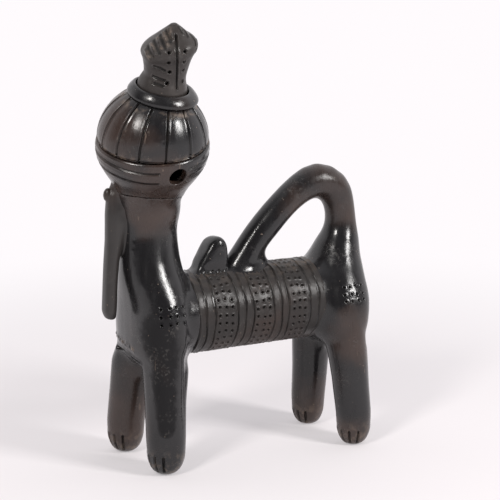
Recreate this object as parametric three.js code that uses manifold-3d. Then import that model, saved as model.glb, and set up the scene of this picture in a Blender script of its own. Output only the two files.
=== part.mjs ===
// A burnished black terracotta vessel in the shape of a four-legged animal.
// Its head is a hollow melon-shaped ball with a mouth on top, closed by a loose clay stopper.
// The vessel is hand-built: each clay part below is formed alone and luted to its neighbours,
// so every part is a solid of its own that meets the next one across a thin slip joint.
// The head, neck, chest, barrel and haunch are one connected hollow; legs, tail and trunk are solid.
// Millimetres, +X towards the head, +Y to the animal's left, +Z up.

import * as THREE from "three";
import { mergeVertices } from "three/addons/utils/BufferGeometryUtils.js";
import Module from "manifold-3d";

const wasm = await Module();
wasm.setup();

// Walls and joints
const slipJoint = 0.3; // gap left for the slip between two luted parts
const wall = 6; // thickness of every hollow wall

// Barrel
const barrelRadius = 30.4;
const barrelHeight = 110.7; // its axis above the ground
const barrelOverlap = 10; // length of each end that is buried in the chest or the haunch
const portRadius = 19; // openings from the barrel into the chest and the haunch
const ringGroove = 0.8; // depth of the grooves scratched round it, and half their width
// Grooves ahead of the middle between the shoulders and the hips, in four groups of three
const ringGrooves = [-54.3, -48.2, -40.9, -22.8, -17, -10.3, 6.9, 13.2, 19.5, 37.7, 44.6, 50.8];

// Chest and neck
const chestX = 79.5; // the shoulders lie across this line
const chestHalfLength = 21;
const chestHalfWidth = 39;
const neckForward = 2.5; // centre of the neck ahead of the shoulders
const neckRadius = 20.6;
const neckThroatHeight = 174; // height of the narrowest place
const neckTopHeight = 192;
const neckTopRadius = 23.4;

// Haunch
const haunchX = -68; // the hips lie across this line
const haunchHalfLength = 23;
const haunchHalfWidth = 38;
const haunchRise = 12; // top of the haunch above the barrel

// Legs
const frontLegRadius = 14.2;
const rearLegRadius = 13.3;
const footFlatRadius = 5.5; // flat that each rounded foot stands on
const legSpread = 58.6; // between the centres of a left foot and a right foot
const frontFootForward = 5.7; // front feet ahead of the shoulders
const rearFootForward = -0.9; // rear feet ahead of the hips
const frontLegLean = -5; // how far a front leg's top stands ahead of its foot
const rearLegLean = 2.5;
const splay = 10; // how far each leg leans inwards from its foot to its top
const frontShift = -4; // the front pair stands a little to the right
const rearShift = 4; // and the rear pair a little to the left
const strideShift = 3.1; // left feet stand this far back and right feet this far forward

// Tail and spur
const tailRadius = 11;
const tailApexRadius = 13.2;
const tailRootRadius = 15.5;
const tailRise = 58.5; // centre line of the handle's top above the barrel
const tailReach = 82; // its front root ahead of the hips
const spurHalfWidth = 9;
const spurRise = 23.5; // tip of the spur above the barrel
const spurSetBack = 37; // its upright back face behind the chest
const spurLength = 30.5;

// Ball of the head
const ballForward = 2.6; // centre of the ball ahead of the neck
const ballSide = 15; // and to the left of the mid-plane
const ballRise = 49.4; // and above the top of the neck
const headRoll = 18; // degrees that the head leans to its left
const headNod = 1.5; // degrees that it leans forward
const seamTilt = 4.5; // further degrees forward at the seam round the ball
const crownTilt = -4.5; // and back at its mouth
const bowlRimRadius = 39.9;
const bowlDepth = 58;
const domeRadius = 39.2;
const lobeDepth = 1.8;
// Grooves between the lobes, in degrees from straight ahead: uneven, as they were drawn by hand
const lobeGrooves = [-22, 3, 27, 52, 80, 108, 135, 160, 186, 211, 237, 262, 288, 313];
const earHoleRadius = 6.2;
const earHoleDrop = 11; // below the ball's centre
const earHoleBack = 2.5; // and behind it

// Mouth and stopper
const mouthRadius = 15.4;
const mouthLedge = 32; // flat ledge above the ball's centre
const collarBore = 18.2;
const collarRadius = 24.8;
const collarHeight = 8;
const stopperClearance = 0.8; // radial play of the plug and of the flange
const plugLength = 14;
const stopperHeight = 53; // from the flange's underside to the tip
const shoulderHeight = 37;
const stopperWaistRadius = 14.6;
const stopperShoulderRadius = 18.35;
const stopperTurn = -15; // degrees that the loose stopper is turned in the mouth
const stopperSkew = 0.27; // slope of its hand-pinched shoulders, down towards the front

// Trunk
const trunkHalfWidth = 6.8;
const trunkThickness = 9.6;
const trunkBottom = 112; // height of its free end
const trunkGap = 4.6; // free end ahead of the line down the neck's front
const bossDrop = 0.99; // centre of the boss below the ball's centre, as a share of the bowl's rim
const bossHalfHeight = 5.6;

// Facets
const bodySegments = 32;
const limbSegments = 22;
const trunkSegments = 20;
const bossSegments = 12;

const colour = { fired: 0x1d1918, stopper: 0x262120 };
const upright = new THREE.Vector3(0, 0, 1);
const crosswise = new THREE.Vector3(0, 1, 0);

// Solids

function solidOf(geometry) {
  const bare = geometry.index ? geometry.toNonIndexed() : geometry;
  const positions = new THREE.BufferGeometry();
  positions.setAttribute("position", bare.getAttribute("position"));
  const merged = mergeVertices(positions, 1e-4);
  const mesh = new wasm.Mesh({
    numProp: 3,
    vertProperties: new Float32Array(merged.attributes.position.array),
    triVerts: new Uint32Array(merged.index.array),
  });
  mesh.merge();
  return new wasm.Manifold(mesh);
}

function geometryOf(solid) {
  const mesh = solid.getMesh();
  const geometry = new THREE.BufferGeometry();
  geometry.setAttribute("position", new THREE.BufferAttribute(mesh.vertProperties, 3));
  geometry.setIndex(new THREE.BufferAttribute(mesh.triVerts, 1));
  geometry.computeVertexNormals();
  return geometry;
}

const moved = (solid, matrix) => solidOf(geometryOf(solid).applyMatrix4(matrix));

function middleOf(points) {
  const middle = new THREE.Vector3();
  points.forEach((point) => middle.add(point));
  return middle.divideScalar(points.length);
}

// A closed surface over a row of rings, each a list of the same number of points
// that runs anticlockwise when it is seen from the last ring.
function skinRings(rings) {
  const count = rings[0].length;
  const last = (rings.length - 1) * count;
  const points = [...rings.flat(), middleOf(rings[0]), middleOf(rings.at(-1))];
  const bottomHub = points.length - 2;
  const topHub = points.length - 1;
  const faces = [];
  for (let i = 0; i < count; i++) {
    const next = (i + 1) % count;
    for (let low = 0; low < last; low += count) {
      const high = low + count;
      faces.push(low + i, low + next, high + next, low + i, high + next, high + i);
    }
    faces.push(next, i, bottomHub, last + i, last + next, topHub);
  }
  const geometry = new THREE.BufferGeometry();
  const numbers = points.flatMap((point) => point.toArray());
  geometry.setAttribute("position", new THREE.Float32BufferAttribute(numbers, 3));
  geometry.setIndex(faces);
  return geometry;
}

// A ring with half sizes along two directions. Power 2 is an ellipse, and more is squarer.
function ring(centre, across, along, power, count) {
  const bend = (value) => Math.sign(value) * Math.abs(value) ** (2 / power);
  return Array.from({ length: count }, (_, i) => {
    const angle = (2 * Math.PI * i) / count;
    const point = centre.clone().addScaledVector(across, bend(Math.cos(angle)));
    return point.addScaledVector(along, bend(Math.sin(angle)));
  });
}

// Rows on a Catmull-Rom spline through the given rows.
function smoothRows(rows, steps) {
  const at = (i) => rows[Math.min(rows.length - 1, Math.max(0, i))];
  const between = (i, t) =>
    at(i).map((b, k) => {
      const [a, c, d] = [at(i - 1)[k], at(i + 1)[k], at(i + 2)[k]];
      const bend = 2 * a - 5 * b + 4 * c - d + t * (3 * (b - c) + d - a);
      return b + 0.5 * t * (c - a + t * bend);
    });
  const count = (rows.length - 1) * steps;
  return Array.from({ length: count + 1 }, (_, s) => between(Math.floor(s / steps), (s % steps) / steps));
}

// A standing form: each row is height, centre x, centre y, half length, half width
// and, if it isn't an ellipse, the power of its outline.
function standingForm(rows, { grow = 0, steps = 2, segments = bodySegments } = {}) {
  const full = rows.map((row) => (row.length > 5 ? row : [...row, 2]));
  const rings = smoothRows(full, steps).map(([z, x, y, halfX, halfY, power]) => {
    const across = new THREE.Vector3(halfX + grow, 0, 0);
    const along = new THREE.Vector3(0, halfY + grow, 0);
    return ring(new THREE.Vector3(x, y, z), across, along, power, segments);
  });
  return solidOf(skinRings(rings));
}

function rod(axis, radius, length, centre, segments = bodySegments) {
  const geometry = new THREE.CylinderGeometry(radius, radius, length, segments);
  if (axis === "x") geometry.rotateZ(Math.PI / 2);
  if (axis === "z") geometry.rotateX(Math.PI / 2);
  geometry.translate(...centre);
  return solidOf(geometry);
}

// The hollow inside a standing form, between two heights, with a rounded floor.
function hollowRows(rows, bottom, top) {
  const floor = 0.75; // width of the floor as a share of the hollow above it
  const sides = rows
    .filter(([z]) => z > bottom && z < top)
    .map(([z, x, y, halfX, halfY, power = 2]) => [z, x, y, halfX - wall, halfY - wall, power]);
  const [, x, y, halfX, halfY, power] = sides[0];
  return [[bottom, x, y, floor * halfX, floor * halfY, power], ...sides];
}

// Barrel
const chestRear = chestX - chestHalfLength;
const haunchFront = haunchX + haunchHalfLength;
const barrelFront = chestRear + barrelOverlap;
const barrelRear = haunchFront - barrelOverlap;
const barrelTop = barrelHeight + barrelRadius;
const bodyAt = (share) => barrelHeight + share * barrelRadius;
const crotchHeight = bodyAt(-1.1);

const barrelRod = (radius, extra = 0) =>
  rod("x", radius, barrelFront - barrelRear + extra, [
    (barrelFront + barrelRear) / 2,
    0,
    barrelHeight,
  ]);

function groovedRod() {
  const middle = (chestX + haunchX) / 2;
  const grooves = ringGrooves.flatMap((ahead) => [
    [barrelRadius, middle + ahead - ringGroove],
    [barrelRadius - ringGroove, middle + ahead],
    [barrelRadius, middle + ahead + ringGroove],
  ]);
  const rows = [[barrelRadius, barrelRear], ...grooves, [barrelRadius, barrelFront]];
  const rings = rows.map(([radius, x]) => {
    const across = new THREE.Vector3(0, radius, 0);
    const along = new THREE.Vector3(0, 0, radius);
    return ring(new THREE.Vector3(x, 0, barrelHeight), across, along, 2, bodySegments);
  });
  return solidOf(skinRings(rings));
}

const barrelHole = barrelRod(barrelRadius + slipJoint);

// Neck and chest
const neckX = chestX + neckForward;
const throat = neckThroatHeight - barrelTop;
const chestRow = (z, forward, shift, length, width, power) => [
  z,
  chestX + forward,
  shift * frontShift,
  length * chestHalfLength,
  width * chestHalfWidth,
  power,
];
const neckRow = (z, radius, width = 1) => [z, neckX, 0, radius, width * radius];
const chestRows = [
  chestRow(crotchHeight, 0, 0.75, 0.62, 0.6, 2.4),
  chestRow(bodyAt(-0.935), 0, 0.75, 0.86, 0.86, 2.5),
  chestRow(bodyAt(-0.57), 0, 0.62, 0.98, 0.98, 2.6),
  chestRow(barrelHeight, 0, 0.5, 1, 0.97, 2.6),
  chestRow(bodyAt(0.46), 0.2 * neckForward, 0.25, 1.02, 0.9, 2.4),
  chestRow(bodyAt(0.93), 0.5 * neckForward, 0, 1.08, 0.77, 2.2),
  neckRow(barrelTop + 0.42 * throat, 1.05 * neckRadius, 1.1),
  neckRow(neckThroatHeight, neckRadius, 0.92),
  neckRow((neckThroatHeight + neckTopHeight) / 2, 1.06 * neckRadius),
  neckRow(neckTopHeight, neckTopRadius),
];
const chestForm = (grow) => standingForm(chestRows, { grow });

function chestHollow() {
  const topRadius = neckTopRadius - wall;
  const rows = hollowRows(chestRows, crotchHeight + wall, neckTopHeight);
  const top = [neckTopHeight, neckTopHeight + wall].map((z) => [...neckRow(z, topRadius), 2]);
  return standingForm([...rows, ...top], { steps: 1 });
}

// Haunch
const haunchTop = barrelTop + haunchRise;
const haunchRow = (z, forward, shift, length, width, power) => [
  z,
  haunchX + forward * haunchHalfLength,
  shift * rearShift,
  length * haunchHalfLength,
  width * haunchHalfWidth,
  power,
];
const haunchRows = [
  haunchRow(crotchHeight, 0, 0.75, 0.62, 0.6, 2.4),
  haunchRow(bodyAt(-0.935), 0, 0.75, 0.86, 0.86, 2.5),
  haunchRow(bodyAt(-0.57), 0, 0.62, 0.98, 0.98, 2.6),
  haunchRow(barrelHeight, -0.03, 0.5, 1.03, 0.97, 2.5),
  haunchRow(bodyAt(0.46), -0.05, 0.25, 0.99, 0.86, 2.3),
  haunchRow(bodyAt(0.9), -0.17, 0, 0.9, 0.66, 2.1),
  haunchRow(haunchTop, -0.33, 0, 0.7, 0.46, 2),
];
const haunchForm = (grow) => standingForm(haunchRows, { grow });
const haunchHollow = () =>
  standingForm(hollowRows(haunchRows, crotchHeight + wall, haunchTop), { steps: 1 });

const chestPort = rod("x", portRadius, chestHalfLength, [chestRear, 0, barrelHeight]);
const haunchPort = rod("x", portRadius, haunchHalfLength, [haunchFront, 0, barrelHeight]);
const neckAndChest = chestForm(0).subtract(chestHollow()).subtract(chestPort);
const haunch = haunchForm(0).subtract(haunchHollow()).subtract(haunchPort);
const barrel = groovedRod()
  .subtract(barrelRod(barrelRadius - wall, 2 * wall))
  .subtract(chestForm(slipJoint))
  .subtract(haunchForm(slipJoint));

// Legs
const frontPair = {
  x: chestX + frontFootForward,
  y: frontShift,
  radius: frontLegRadius,
  lean: frontLegLean,
  body: chestForm,
};
const rearPair = {
  x: haunchX + rearFootForward,
  y: rearShift,
  radius: rearLegRadius,
  lean: rearLegLean,
  body: haunchForm,
};

function leg(pair, side) {
  const row = (z, share, thickness, width = thickness) => [
    z,
    pair.x - side * strideShift + share * pair.lean,
    pair.y + side * (legSpread / 2 - share * splay),
    thickness * pair.radius,
    width * pair.radius,
  ];
  const flat = footFlatRadius / pair.radius;
  const rows = [
    row(0, 0, flat),
    row(0.11 * pair.radius, 0, flat + 0.22),
    row(0.38 * pair.radius, 0, 0.82),
    row(0.84 * pair.radius, 0, 0.97),
    row(0.32 * crotchHeight, 0.05, 1.02),
    row(0.67 * crotchHeight, 0.45, 1.08, 1.06),
    row(0.96 * crotchHeight, 0.85, 1.2, 1.1),
    row(1.065 * crotchHeight, 1, 1.1, 0.95),
    row(1.17 * crotchHeight, 1, 0.8, 0.7),
  ];
  return standingForm(rows, { steps: 1, segments: limbSegments })
    .subtract(pair.body(slipJoint))
    .subtract(barrelHole);
}

const legs = [
  ["front_left_leg", leg(frontPair, 1)],
  ["front_right_leg", leg(frontPair, -1)],
  ["rear_left_leg", leg(rearPair, 1)],
  ["rear_right_leg", leg(rearPair, -1)],
];

// Tail, bent into a carrying handle. Each row is how far ahead of the hips and how high it is,
// as shares of the reach and the rise, and its radius.
const tailRows = [
  [1, -0.13, 1.1 * tailRadius],
  [0.82, 0.24, tailRadius],
  [0.671, 0.48, tailRadius],
  [0.5, 0.72, tailRadius],
  [0.311, 0.915, 1.06 * tailRadius],
  [0.134, 1, tailApexRadius],
  [-0.024, 0.905, tailApexRadius],
  [-0.109, 0.665, tailApexRadius],
  [-0.127, 0.39, 1.08 * tailApexRadius],
  [-0.104, 0.135, tailRootRadius],
  [-0.049, -0.13, 1.1 * tailRootRadius],
];

function tailForm(grow) {
  const rows = smoothRows(tailRows, 2);
  const centres = rows.map(
    ([ahead, up]) => new THREE.Vector3(haunchX + ahead * tailReach, 0, barrelTop + up * tailRise),
  );
  const rings = rows.map(([, , radius], i) => {
    const before = centres[Math.max(0, i - 1)];
    const after = centres[Math.min(rows.length - 1, i + 1)];
    const course = after.clone().sub(before).normalize();
    const outward = course.cross(crosswise).multiplyScalar(radius + grow);
    const sideways = crosswise.clone().multiplyScalar(radius + grow);
    return ring(centres[i], sideways, outward, 2, limbSegments);
  });
  return solidOf(skinRings(rings));
}

const tail = tailForm(0).subtract(barrelHole).subtract(haunchForm(slipJoint));

// Spur, a small saddle horn with a sloping front and an upright back.
function spurForm() {
  const back = chestRear - spurSetBack;
  const outline = [
    [1, -0.26],
    [0.73, 0.26],
    [0.45, 0.87],
    [0.3, 1],
    [0.14, 0.97],
    [0.036, 0.72],
    [0, -0.26],
  ].map(
    ([ahead, up]) => new THREE.Vector2(back + ahead * spurLength, barrelTop + up * spurRise),
  );
  const shape = new THREE.Shape(outline);
  const geometry = new THREE.ExtrudeGeometry(shape, {
    depth: 2 * spurHalfWidth,
    bevelEnabled: false,
  });
  geometry.translate(0, 0, -spurHalfWidth);
  geometry.rotateX(Math.PI / 2);
  return solidOf(geometry);
}

const spur = spurForm()
  .subtract(barrelHole)
  .subtract(chestForm(slipJoint))
  .subtract(tailForm(slipJoint));

// Head: a group at the ball's centre that leans with the ball, and one inside it for the mouth.
const head = new THREE.Group();
head.position.set(neckX + ballForward, ballSide, neckTopHeight + ballRise);
head.rotation.x = THREE.MathUtils.degToRad(-headRoll);
head.rotation.y = THREE.MathUtils.degToRad(headNod);
head.updateMatrix();
const crown = new THREE.Group();
crown.rotation.y = THREE.MathUtils.degToRad(crownTilt);
crown.updateMatrix();

// Directions round the head's axis, each an angle and how deep in a groove it lies, from 0 to 1
const evenTurns = Array.from({ length: bodySegments }, (_, i) => [(2 * Math.PI * i) / bodySegments, 0]);
const lobeTurns = lobeGrooves.flatMap((start, i) => {
  const end = lobeGrooves[i + 1] ?? lobeGrooves[0] + 360;
  const steps = 4;
  return Array.from({ length: steps }, (_, k) => [
    THREE.MathUtils.degToRad(THREE.MathUtils.lerp(start, end, k / steps)),
    1 - Math.sin((Math.PI * k) / steps) ** 0.7,
  ]);
});

// A form turned about the head's axis, from rows of radius and height that go upwards,
// whose rings tilt from one lean at the bottom to another at the top.
function leaningForm(rows, fromTilt, toTilt, turns = evenTurns) {
  const rings = rows.map(([radius, height], r) => {
    const share = r / (rows.length - 1);
    const tilt = THREE.MathUtils.degToRad(THREE.MathUtils.lerp(fromTilt, toTilt, share));
    const depth = lobeDepth * Math.sqrt(1 - share ** 4);
    return turns.map(([angle, groove]) => {
      const point = new THREE.Vector3(radius - depth * groove, 0, height);
      return point.applyAxisAngle(upright, angle).applyAxisAngle(crosswise, tilt);
    });
  });
  return solidOf(skinRings(rings));
}

// Bowl: rows of how far in from the rim and how far down, as shares of the rim and the depth.
const bowlRows = [
  [0.57, 1],
  [0.58, 0.83],
  [0.62, 0.69],
  [0.7, 0.55],
  [0.845, 0.388],
  [0.957, 0.241],
  [0.995, 0.138],
  [1, 0.052],
  [0.995, 0.017],
  [0.97, 0],
].map(([share, down]) => [share * bowlRimRadius, -down * bowlDepth]);
const bowlForm = (grow, moreRows = []) =>
  leaningForm(
    [...bowlRows, ...moreRows].map(([radius, height]) => [radius + grow, height]),
    0,
    seamTilt,
  );
const aboveSeam = [bowlRows.at(-1)[0], wall]; // lets the hollow run out through the seam

function groundBlock(height) {
  const size = 4 * neckTopHeight;
  const geometry = new THREE.BoxGeometry(size, size, size);
  geometry.translate(0, 0, height - size / 2);
  return moved(solidOf(geometry), head.matrix.clone().invert());
}

const earHoles = rod(
  "y",
  earHoleRadius,
  4 * bowlRimRadius,
  [-earHoleBack, 0, -earHoleDrop],
  limbSegments,
);
const bowl = bowlForm(0)
  .subtract(bowlForm(-wall, [aboveSeam]))
  .subtract(earHoles)
  .subtract(groundBlock(neckTopHeight + slipJoint));

// Dome with its lobes, open at the mouth
function capRows(radius, bottom, top) {
  const steps = 6;
  return Array.from({ length: steps + 1 }, (_, r) => {
    const height = THREE.MathUtils.lerp(bottom, top, r / steps);
    return [Math.sqrt(radius ** 2 - height ** 2), height];
  });
}

const domeOuter = leaningForm(
  capRows(domeRadius, slipJoint, mouthLedge),
  seamTilt,
  crownTilt,
  lobeTurns,
);
const domeInner = leaningForm(
  capRows(domeRadius - wall, -slipJoint, mouthLedge - wall),
  seamTilt,
  crownTilt,
);
const mouth = moved(rod("z", mouthRadius, 2 * mouthLedge, [0, 0, mouthLedge]), crown.matrix);
const dome = domeOuter.subtract(domeInner).subtract(mouth);

// Collar, a rolled ring round the mouth
function collarForm() {
  const thick = collarRadius - collarBore;
  const profile = [
    [collarBore, 0],
    [collarRadius - 0.12 * thick, 0],
    [collarRadius, 0.3 * collarHeight],
    [collarRadius - 0.1 * thick, 0.63 * collarHeight],
    [collarRadius - 0.48 * thick, 0.93 * collarHeight],
    [collarRadius - 0.8 * thick, collarHeight],
    [collarBore + 0.08 * thick, 0.9 * collarHeight],
    [collarBore, 0.72 * collarHeight],
    [collarBore, 0],
  ];
  const points = profile.map(([radius, height]) => new THREE.Vector2(radius, height));
  const geometry = new THREE.LatheGeometry(points, bodySegments);
  geometry.rotateX(Math.PI / 2);
  return solidOf(geometry);
}

// Stopper: a plug, a flange that rests on the ledge, and a pointed finial, nearly square in plan.
function stopperForm() {
  const flange = collarBore - stopperClearance;
  const plug = mouthRadius - stopperClearance;
  const waist = stopperWaistRadius;
  const shoulder = stopperShoulderRadius;
  const stem = (share) => THREE.MathUtils.lerp(collarHeight, shoulderHeight, share);
  const peak = (share) => THREE.MathUtils.lerp(shoulderHeight, stopperHeight, share);
  const rows = [
    [-plugLength, plug - 1, 2],
    [1.5 - plugLength, plug, 2],
    [-0.1, plug, 2],
    [0, flange - 0.3, 2],
    [0.8, flange, 2],
    [stem(0), flange, 2],
    [stem(0.14), 0.94 * flange, 2],
    [stem(0.31), waist, 2.1],
    [stem(0.52), 1.03 * waist, 2.2],
    [stem(0.76), 0.9 * shoulder, 2.35],
    [stem(0.94), shoulder, 2.4],
    [peak(0.08), 0.97 * shoulder, 2.4],
    [peak(0.53), 0.57 * shoulder, 2.4],
    [peak(0.83), 0.28 * shoulder, 2.3],
    [peak(0.95), 0.15 * shoulder, 2],
    [peak(1), 0.05 * shoulder, 2],
  ];
  const rings = rows.map(([height, radius, power]) => {
    const skew = stopperSkew * THREE.MathUtils.smoothstep(height, stem(0.14), stem(0.76));
    const across = new THREE.Vector3(radius, 0, -skew * radius);
    const along = new THREE.Vector3(0, radius, 0);
    return ring(new THREE.Vector3(0, 0, height), across, along, power, limbSegments);
  });
  return solidOf(skinRings(rings));
}

// Trunk, a strip that hangs down the front of the neck from under the head
const neckFront = neckX + neckRadius;
const bowlInVessel = moved(bowlForm(slipJoint), head.matrix);
const trunkRow = (share, gap, lift, thickness, width, power = 2.6) => [
  THREE.MathUtils.lerp(trunkBottom, neckTopHeight, share),
  neckFront + gap * trunkGap + (lift + 0.5 * thickness) * trunkThickness,
  0,
  0.5 * thickness * trunkThickness,
  width * trunkHalfWidth,
  power,
];
const trunkRows = [
  trunkRow(0, 1, 0.27, 0.45, 0.4, 2),
  trunkRow(0.02, 1, 0.19, 0.83, 0.75, 2.4),
  trunkRow(0.08, 1, 0.19, 0.98, 1),
  trunkRow(0.29, 1, 0.09, 1, 1),
  trunkRow(0.54, 1, -0.07, 1.02, 1),
  trunkRow(0.72, 0, 0.06, 1.27, 1),
  trunkRow(0.95, 0, -0.21, 1.5, 1),
  trunkRow(1.13, 0, -0.32, 1.46, 0.95, 2.5),
  trunkRow(1.23, 0, -0.27, 1.04, 0.7, 2),
];
const trunkForm = (grow) => standingForm(trunkRows, { grow, steps: 1, segments: trunkSegments });
const trunk = trunkForm(0).subtract(chestForm(slipJoint)).subtract(bowlInVessel);

// Boss, a small knob on the front of the trunk's top
function bossForm() {
  const geometry = new THREE.SphereGeometry(1, bossSegments, bossSegments / 2);
  geometry.rotateX(Math.PI / 2);
  geometry.scale(0.75 * bossHalfHeight, 0.71 * bossHalfHeight, bossHalfHeight);
  geometry.translate(
    neckFront + trunkThickness,
    0,
    head.position.z - bossDrop * bowlRimRadius,
  );
  return solidOf(geometry);
}

const boss = bossForm().subtract(trunkForm(slipJoint)).subtract(bowlInVessel);

// Scene graph
function clay(name, solid, shade = colour.fired) {
  const material = new THREE.MeshStandardMaterial({ color: shade, roughness: 0.32, metalness: 0 });
  const mesh = new THREE.Mesh(geometryOf(solid), material);
  mesh.name = name;
  return mesh;
}

const vessel = new THREE.Group();
vessel.add(
  clay("neck_and_chest", neckAndChest),
  clay("barrel", barrel),
  clay("haunch", haunch),
  ...legs.map(([name, solid]) => clay(name, solid)),
  clay("tail_handle", tail),
  clay("back_spur", spur),
  clay("trunk", trunk),
  clay("trunk_boss", boss),
  head,
);
head.add(clay("head_bowl", bowl), clay("head_dome", dome), crown);

const collar = clay("mouth_collar", collarForm());
collar.position.z = mouthLedge + slipJoint;
const stopper = clay("stopper", stopperForm(), colour.stopper);
stopper.position.z = mouthLedge + slipJoint;
stopper.rotation.z = THREE.MathUtils.degToRad(stopperTurn);
crown.add(collar, stopper);

// The origin lies on the ground under the middle of the whole object.
const bounds = new THREE.Box3().setFromObject(vessel, true);
const middle = bounds.getCenter(new THREE.Vector3());
vessel.position.set(-middle.x, -middle.y, -bounds.min.z);
const part = new THREE.Group();
part.add(vessel);

export default part;
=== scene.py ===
# The looks of a burnished black terracotta vessel in the shape of a four-legged animal.
# The clay of each part is modelled over its CAD solid, in metres and in the frame's own axes:
# +X towards the head, +Y to the animal's left, +Z up.

import math
import random

import bmesh
import bpy
import numpy as np
import openvdb as vdb
from mathutils import Matrix, Vector


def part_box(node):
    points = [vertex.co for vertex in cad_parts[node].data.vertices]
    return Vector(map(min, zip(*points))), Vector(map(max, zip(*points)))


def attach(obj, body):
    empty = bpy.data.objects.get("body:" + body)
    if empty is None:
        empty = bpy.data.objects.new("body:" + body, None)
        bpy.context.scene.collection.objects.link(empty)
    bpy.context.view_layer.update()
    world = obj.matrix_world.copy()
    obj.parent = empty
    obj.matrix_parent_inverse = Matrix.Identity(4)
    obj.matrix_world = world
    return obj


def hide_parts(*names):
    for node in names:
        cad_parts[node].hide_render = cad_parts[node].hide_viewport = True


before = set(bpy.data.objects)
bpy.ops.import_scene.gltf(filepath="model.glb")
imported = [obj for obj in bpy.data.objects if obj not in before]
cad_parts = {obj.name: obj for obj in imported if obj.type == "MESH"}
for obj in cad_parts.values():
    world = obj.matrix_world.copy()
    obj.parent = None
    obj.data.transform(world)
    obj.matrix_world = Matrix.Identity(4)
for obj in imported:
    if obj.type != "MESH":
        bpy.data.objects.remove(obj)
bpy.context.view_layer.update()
chance = random.Random(7)

MM = 0.001
TAU = 2 * math.pi

# The photograph's camera
VIEW_TURN = math.radians(28.06)  # ahead of square to the animal's left flank
VIEW_RISE = math.radians(12)
VIEW_DISTANCE = 1.1138
VIEW_TARGET = Vector((-0.0157, -0.0037, 0.1515))
LENS = 108
SENSOR = 36

# Forms that the CAD solids give
BARREL_LOW, BARREL_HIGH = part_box("barrel")
BARREL_RADIUS = (BARREL_HIGH.z - BARREL_LOW.z) / 2
BARREL_Y = (BARREL_HIGH.y + BARREL_LOW.y) / 2
BARREL_Z = (BARREL_HIGH.z + BARREL_LOW.z) / 2
WALL = 6 * MM
CRACK_HEIGHT = 196 * MM  # the joint between neck and head shows as a crack,
CRACK_SLOPE = 0.09  # which rises towards the front
HOLLOW_FLOOR = 84 * MM  # the legs are solid below this height

# Head: its centre, how it leans, and the further lean of its seam and of its mouth
HEAD_CENTRE = np.array((68.9, 11.29, 241.4)) * MM
HEAD_LEAN = Matrix.Rotation(math.radians(-18), 3, "X") @ Matrix.Rotation(math.radians(1.5), 3, "Y")
SEAM_TILT = math.radians(4.5)
MOUTH_TILT = math.radians(-4.5)

# Ring grooves round the barrel, in four groups of three
RINGS = [x * MM for x in (40.9, 34.7, 27.8, 9.6, 3.3, -3.1, -20.2, -26.9, -32.7, -50.8, -58.1, -64.2)]
FRONT_SEAM = RINGS[0]  # the clay of the chest ends in the first ring
HIND_SEAM = RINGS[-1]  # and that of the haunch in the last one

# Columns of pricked dots between the rings, in mm, and the dots in a turn of a column
BANDS = ((24.5, 19.1, 14.2), (-6.4, -12, -16.4), (-36.9, -41.6, -46))
DOTS_IN_TURN = 32
DOT_RADIUS = 1.1 * MM
DOT_DEPTH = 1.9 * MM

# How finely the fields are worked out, and how far the clay rounds off the folds
STEP = 0.9 * MM  # between the points of a field
REACH = 12 * MM  # how far from a surface its distances are known
MARGIN = 12 * MM  # what a field takes in round its solids
FILLET = 9 * MM  # radius of the clay that fills the folds between body, legs and tail
TUCK = 0.9 * MM  # clay that laps onto other clay starts this far inside it
LAP = 2.2 * MM  # and reaches this far inside it

# Shares of the way to their neighbours that points move in one round of relaxing
EVEN_OUT = (0.5, -0.52)  # which hardly shrinks the clay
ROUND_OFF = (0.6,)  # which does

FAR = 80 * MM  # how far off the lines begin that find the places of marks
MARK_REACH = 2.6 * MM  # how far round a mark the mesh is made finer


# Distance fields


class Block:
    """A box of evenly spaced points that carries the distance fields of clay forms."""

    def __init__(self, low, high, step=STEP):
        self.step = step
        first = np.floor(np.array(low) / step).astype(int)
        last = np.ceil(np.array(high) / step).astype(int)
        self.shape = tuple(int(n) for n in last - first + 1)
        self.start = tuple(int(n) for n in first)
        self.transform = vdb.createLinearTransform(voxelSize=step)

    def axes(self):
        """x, y and z of the points, shaped so that they combine into the whole block."""
        ticks = [(np.arange(n) + first) * self.step for n, first in zip(self.shape, self.start)]
        return np.ix_(*ticks)

    def distances(self, points, **faces):
        """Signed distances to a closed mesh, below zero inside it."""
        grid = vdb.FloatGrid.createLevelSetFromPolygons(
            points.astype(np.float32),
            transform=self.transform,
            halfWidth=REACH / self.step,
            **faces,
        )
        field = np.empty(self.shape, np.float32)
        grid.copyToArray(field, ijk=self.start)
        return field

    def surface(self, field):
        """The points and quads of the surface where the field is zero."""
        grid = vdb.FloatGrid(REACH)
        grid.transform = self.transform
        grid.copyFromArray(field.astype(np.float32), ijk=self.start)
        points, quads = grid.convertToQuads(isovalue=0.0)
        return points.astype(float), quads.astype(np.int64)

    def measured(self, field):
        """The distances from where a field is zero."""
        points, quads = self.surface(field)
        return self.distances(points, quads=quads.astype(np.uint32))

    def node(self, name):
        """The field of one CAD solid."""
        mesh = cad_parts[name].data
        mesh.calc_loop_triangles()
        points = np.empty(len(mesh.vertices) * 3, np.float32)
        mesh.vertices.foreach_get("co", points)
        corners = np.empty(len(mesh.loop_triangles) * 3, np.int32)
        mesh.loop_triangles.foreach_get("vertices", corners)
        triangles = corners.reshape(-1, 3).astype(np.uint32)
        return self.distances(points.reshape(-1, 3), triangles=triangles)

    def filled_node(self, name):
        """The field of a hollow solid's outer form: what lies between two walls along Y is clay."""
        field = self.node(name)
        clay = field < 0.5 * self.step
        fore = np.logical_or.accumulate(clay, axis=1)
        back = np.logical_or.accumulate(clay[:, ::-1], axis=1)[:, ::-1]
        field[fore & back & ~clay] = -REACH
        return self.measured(field)

    def barrel(self):
        x, y, z = self.axes()
        return np.hypot(y - BARREL_Y, z - BARREL_Z) - BARREL_RADIUS + 0 * x


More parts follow.
